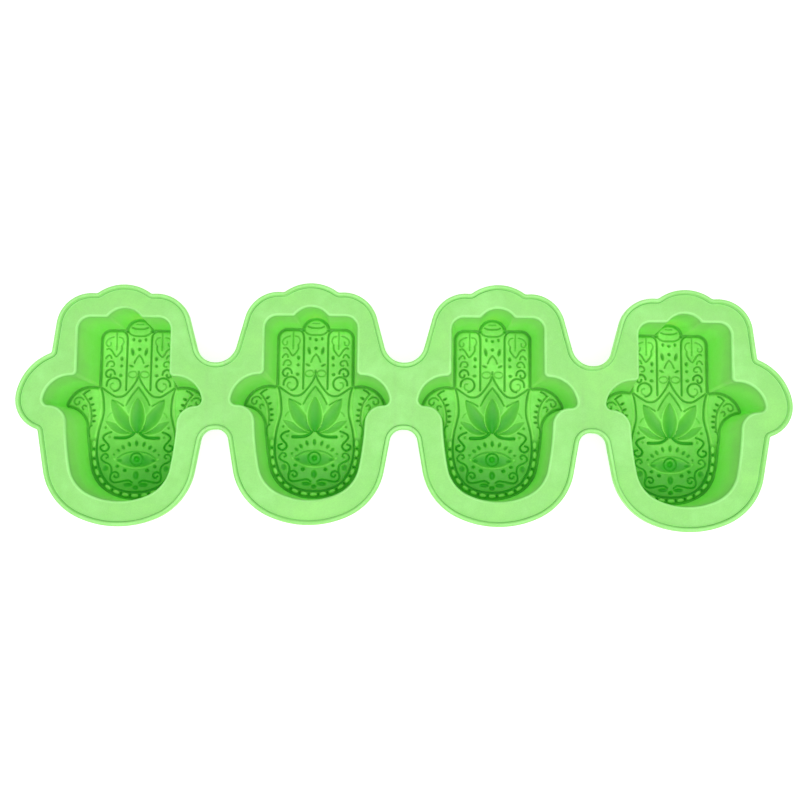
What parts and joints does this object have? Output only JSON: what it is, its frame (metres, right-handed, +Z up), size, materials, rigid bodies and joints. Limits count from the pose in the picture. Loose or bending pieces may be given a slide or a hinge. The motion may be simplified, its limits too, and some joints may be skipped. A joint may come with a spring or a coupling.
{
  "type": "silicone soap mould",
  "caption": "Flexible strip mould of hand-shaped cups with a decorated floor, hung from one thin flange whose narrow webs flex between the cups.",
  "frame": {"origin": "centre of the footprint, on the plane that the cup floors stand on", "axes": "+X along the strip of cups, +Y towards the fingertips, +Z up out of the cups' mouths"},
  "size_m": [0.2998, 0.0936, 0.0296],
  "materials": {
    "silicone": "satin"
  },
  "bodies": {
    "cup_1": {"flange_1": "silicone", "cup_wall_1": "silicone", "cup_floor_1": "silicone", "web_1_2": "silicone"},
    "cup_2": {"flange_2": "silicone", "cup_wall_2": "silicone", "cup_floor_2": "silicone"},
    "cup_3": {"flange_3": "silicone", "cup_wall_3": "silicone", "cup_floor_3": "silicone", "web_2_3": "silicone"},
    "cup_4": {"flange_4": "silicone", "cup_wall_4": "silicone", "cup_floor_4": "silicone", "web_3_4": "silicone"}
  },
  "joints": [
    {"name": "web_1_2_flex", "type": "hinge", "parent": "cup_2", "child": "cup_1", "pos_m": [-0.07275, 0.00305, 0.0267], "axis": [0, 1, 0], "range_deg": [-20, 75], "stiffness_Nm_per_rad": 0.008, "deforming": ["web_1_2"]},
    {"name": "web_2_3_flex", "type": "hinge", "parent": "cup_2", "child": "cup_3", "pos_m": [0, 0.00305, 0.0267], "axis": [0, -1, 0], "range_deg": [-20, 75], "stiffness_Nm_per_rad": 0.008, "deforming": ["web_2_3"]},
    {"name": "web_3_4_flex", "type": "hinge", "parent": "cup_3", "child": "cup_4", "pos_m": [0.07275, 0.00305, 0.0267], "axis": [0, -1, 0], "range_deg": [-20, 75], "stiffness_Nm_per_rad": 0.008, "deforming": ["web_3_4"]}
  ]
}
